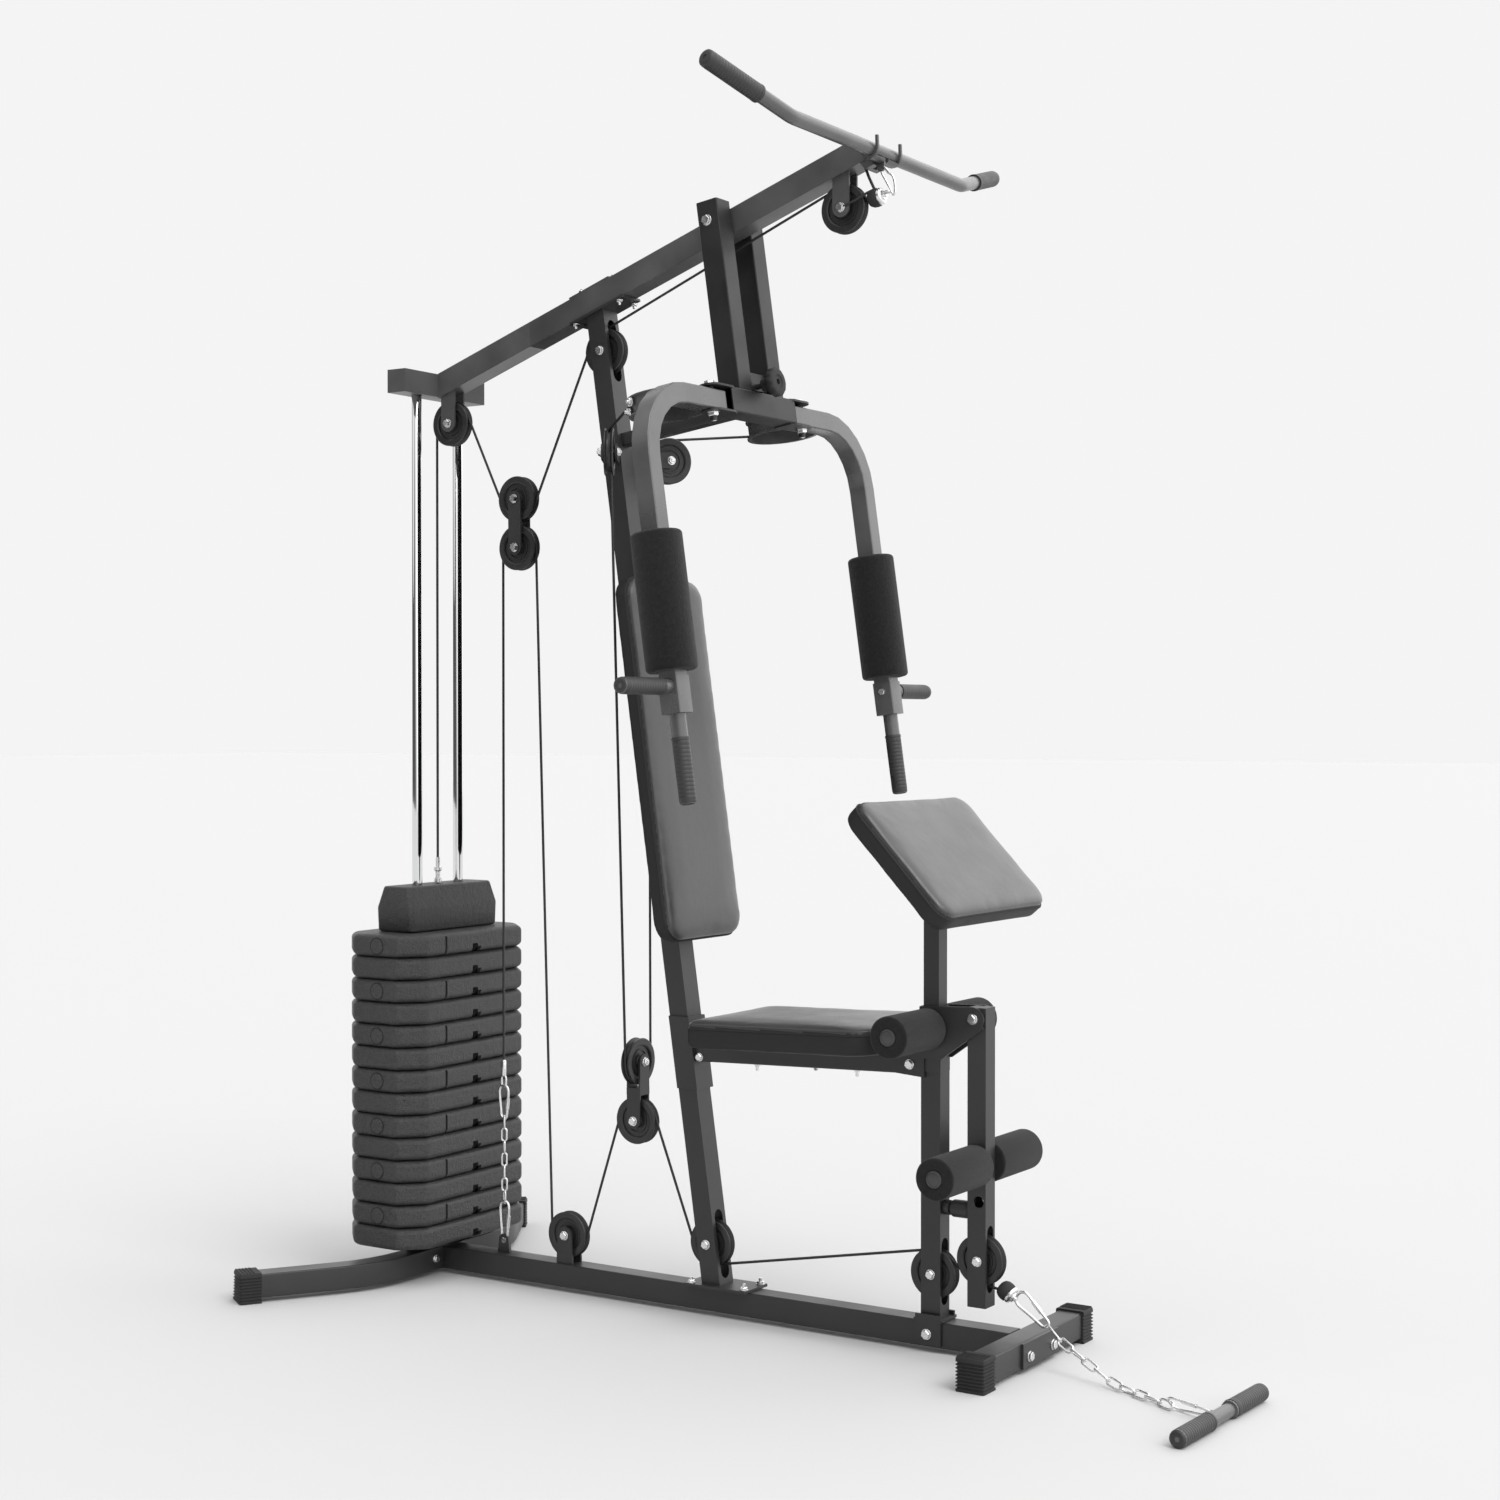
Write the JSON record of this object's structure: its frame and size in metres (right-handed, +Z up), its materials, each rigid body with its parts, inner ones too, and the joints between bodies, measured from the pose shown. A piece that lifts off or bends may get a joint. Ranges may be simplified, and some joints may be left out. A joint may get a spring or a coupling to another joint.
{
  "type": "multi station home gym",
  "caption": "Free-standing cable gym with a weight stack, lat bar, press and fly arms, padded seat and back, curl pad, leg lever and low row chain.",
  "frame": {"origin": "floor level below the centre of the machine, with the free chain and row bar not counted", "axes": "+Z up, +X from the weight stack towards the leg lever, +Y to the side of the machine"},
  "size_m": [1.8995, 1.032, 2.1612],
  "materials": {
    "frame_steel": "black satin powder coat",
    "pad_vinyl": "black upholstery vinyl over foam",
    "grip_foam": "matte black closed-cell foam",
    "rubber_black": "ribbed black rubber",
    "plate_vinyl": "dark grey speckled vinyl shell with a dense filling",
    "rod_chrome": "polished",
    "pulley_nylon": "moulded black nylon",
    "cable_coat": "black coated wire rope",
    "zinc_steel": "bright zinc plate",
    "moulded_black": "moulded"
  },
  "bodies": {
    "frame": {"base_beam": "frame_steel", "rear_stabiliser": "frame_steel", "front_stabiliser": "frame_steel", "main_upright": "frame_steel", "top_beam": "frame_steel", "seat_frame": "frame_steel", "front_post": "frame_steel", "float_a_frame": "frame_steel", "float_b_frame": "frame_steel", "lat_bar": "frame_steel", "row_bar": "frame_steel", "back_pad": "pad_vinyl", "seat_pad": "pad_vinyl", "front_cap_near": "rubber_black", "front_cap_far": "rubber_black", "rear_cap_near": "rubber_black", "rear_cap_far": "rubber_black", "stack_cushion_near": "rubber_black", "stack_cushion_far": "rubber_black", "lever_bumper": "rubber_black", "guide_rod_near": "rod_chrome", "guide_rod_far": "rod_chrome", "lat_cable": "cable_coat", "lat_cable_drop": "cable_coat", "low_cable": "cable_coat", "fly_cable": "cable_coat", "anchor_chain": "zinc_steel", "row_chain": "zinc_steel", "lat_ball_stop": "moulded_black"},
    "stack": {"weight_head": "plate_vinyl", "weight_plate_top": "plate_vinyl", "weight_plates_lower": "plate_vinyl"},
    "lever": {"leg_lever": "frame_steel", "low_ball_stop": "moulded_black", "row_carabiner": "zinc_steel"},
    "press": {"press_frame": "frame_steel"},
    "arm_near": {"press_arm_near": "frame_steel", "arm_foam_near": "grip_foam"},
    "arm_far": {"press_arm_far": "frame_steel", "arm_foam_far": "grip_foam"},
    "preacher": {"preacher_post": "frame_steel", "preacher_pad": "pad_vinyl"},
    "knob": {"lock_knob": "moulded_black"},
    "upper_roller_near": {"upper_roller_near": "grip_foam"},
    "upper_roller_far": {"upper_roller_far": "grip_foam"},
    "lower_roller_near": {"lower_roller_near": "grip_foam"},
    "lower_roller_far": {"lower_roller_far": "grip_foam"},
    "pulley_rear_top": {"pulley_rear_top": "pulley_nylon"},
    "pulley_upright_top": {"pulley_upright_top": "pulley_nylon"},
    "pulley_front_top": {"pulley_front_top": "pulley_nylon"},
    "pulley_float_a_top": {"pulley_float_a_top": "pulley_nylon"},
    "pulley_float_a_low": {"pulley_float_a_low": "pulley_nylon"},
    "pulley_base": {"pulley_base": "pulley_nylon"},
    "pulley_float_b_top": {"pulley_float_b_top": "pulley_nylon"},
    "pulley_float_b_low": {"pulley_float_b_low": "pulley_nylon"},
    "pulley_upright_low": {"pulley_upright_low": "pulley_nylon"},
    "pulley_post": {"pulley_post": "pulley_nylon"},
    "pulley_lever": {"pulley_lever": "pulley_nylon"},
    "pulley_fly_near": {"pulley_fly_near": "pulley_nylon"},
    "pulley_fly_far": {"pulley_fly_far": "pulley_nylon"}
  },
  "joints": [
    {"name": "stack_lift", "type": "slide", "parent": "frame", "child": "stack", "axis": [0, 0, 1], "range_m": [0, 0.5], "deforming": ["lat_cable_drop"]},
    {"name": "lever_swing", "type": "hinge", "parent": "frame", "child": "lever", "pos_m": [0.6292, 0, 0.5835], "axis": [0, -1, 0], "range_deg": [0, 80], "deforming": ["low_cable", "row_chain"]},
    {"name": "press_swing", "type": "hinge", "parent": "frame", "child": "press", "pos_m": [0.1172, 0, 1.997], "axis": [0, -1, 0], "range_deg": [0, 45], "deforming": ["fly_cable"]},
    {"name": "arm_swing_near", "type": "hinge", "parent": "press", "child": "arm_near", "pos_m": [0.1762, -0.149, 1.6615], "axis": [-0.1444, 0, 0.9895], "range_deg": [0, 75]},
    {"name": "arm_swing_far", "type": "hinge", "parent": "press", "child": "arm_far", "pos_m": [0.1762, 0.149, 1.6615], "axis": [0.1444, 0, -0.9895], "range_deg": [0, 75]},
    {"name": "upper_roller_near_turn", "type": "hinge", "parent": "frame", "child": "upper_roller_near", "pos_m": [0.5447, 0, 0.562], "axis": [0, 1, 0], "continuous": true},
    {"name": "upper_roller_far_turn", "type": "hinge", "parent": "frame", "child": "upper_roller_far", "pos_m": [0.5447, 0, 0.562], "axis": [0, 1, 0], "continuous": true},
    {"name": "lower_roller_near_turn", "type": "hinge", "parent": "lever", "child": "lower_roller_near", "pos_m": [0.6342, 0, 0.333], "axis": [0, 1, 0], "continuous": true},
    {"name": "lower_roller_far_turn", "type": "hinge", "parent": "lever", "child": "lower_roller_far", "pos_m": [0.6342, 0, 0.333], "axis": [0, 1, 0], "continuous": true},
    {"name": "pulley_rear_top_turn", "type": "hinge", "parent": "frame", "child": "pulley_rear_top", "pos_m": [-0.5393, 0, 1.6825], "axis": [0, 1, 0], "continuous": true},
    {"name": "pulley_upright_top_turn", "type": "hinge", "parent": "frame", "child": "pulley_upright_top", "pos_m": [-0.1613, 0, 1.793], "axis": [0, 1, 0], "continuous": true},
    {"name": "pulley_front_top_turn", "type": "hinge", "parent": "frame", "child": "pulley_front_top", "pos_m": [0.3617, 0, 2.002], "axis": [0, 1, 0], "continuous": true},
    {"name": "pulley_float_a_top_turn", "type": "hinge", "parent": "frame", "child": "pulley_float_a_top", "pos_m": [-0.3733, 0, 1.5255], "axis": [0, 1, 0], "continuous": true},
    {"name": "pulley_float_a_low_turn", "type": "hinge", "parent": "frame", "child": "pulley_float_a_low", "pos_m": [-0.3718, 0, 1.431], "axis": [0, 1, 0], "continuous": true},
    {"name": "pulley_base_turn", "type": "hinge", "parent": "frame", "child": "pulley_base", "pos_m": [-0.2523, 0, 0.1075], "axis": [0, 1, 0], "continuous": true},
    {"name": "pulley_float_b_low_turn", "type": "hinge", "parent": "frame", "child": "pulley_float_b_low", "pos_m": [-0.0898, 0, 0.342], "axis": [0, 1, 0], "continuous": true},
    {"name": "pulley_upright_low_turn", "type": "hinge", "parent": "frame", "child": "pulley_upright_low", "pos_m": [0.0792, 0, 0.131], "axis": [0, 1, 0], "continuous": true},
    {"name": "pulley_post_turn", "type": "hinge", "parent": "frame", "child": "pulley_post", "pos_m": [0.5447, 0, 0.134], "axis": [0, 1, 0], "continuous": true},
    {"name": "pulley_lever_turn", "type": "hinge", "parent": "lever", "child": "pulley_lever", "pos_m": [0.6352, 0, 0.1675], "axis": [0, 1, 0], "continuous": true},
    {"name": "pulley_float_b_top_turn", "type": "hinge", "parent": "frame", "child": "pulley_float_b_top", "pos_m": [-0.0898, 0, 0.4535], "axis": [1, 0, 0], "continuous": true},
    {"name": "pulley_fly_near_turn", "type": "hinge", "parent": "frame", "child": "pulley_fly_near", "pos_m": [-0.0858, -0.0955, 1.5906], "axis": [0.8417, 0.54, 0], "continuous": true},
    {"name": "pulley_fly_far_turn", "type": "hinge", "parent": "frame", "child": "pulley_fly_far", "pos_m": [-0.0858, 0.0955, 1.5906], "axis": [-0.8417, 0.54, 0], "continuous": true},
    {"name": "preacher_height", "type": "slide", "parent": "frame", "child": "preacher", "axis": [0, 0, 1], "range_m": [0, 0.1]},
    {"name": "knob_turn", "type": "hinge", "parent": "press", "child": "knob", "pos_m": [0.17705, 0, 1.70104], "axis": [0.9895, 0, 0.1444], "continuous": true}
  ],
  "couplings": [
    {"joint": "pulley_rear_top_turn", "follows": "stack_lift", "rad_per_m": 24.691},
    {"joint": "pulley_float_a_top_turn", "follows": "stack_lift", "rad_per_m": -24.691},
    {"joint": "pulley_upright_top_turn", "follows": "stack_lift", "rad_per_m": 24.691},
    {"joint": "pulley_front_top_turn", "follows": "stack_lift", "rad_per_m": 24.691},
    {"joint": "pulley_post_turn", "follows": "lever_swing", "ratio": 8.8889},
    {"joint": "pulley_upright_low_turn", "follows": "lever_swing", "ratio": -8.8889},
    {"joint": "pulley_float_b_low_turn", "follows": "lever_swing", "ratio": 8.8889},
    {"joint": "pulley_base_turn", "follows": "lever_swing", "ratio": -8.8889},
    {"joint": "pulley_float_a_low_turn", "follows": "lever_swing", "ratio": 4.4444},
    {"joint": "pulley_fly_near_turn", "follows": "press_swing", "ratio": 6.5432},
    {"joint": "pulley_fly_far_turn", "follows": "press_swing", "ratio": 6.5432}
  ]
}
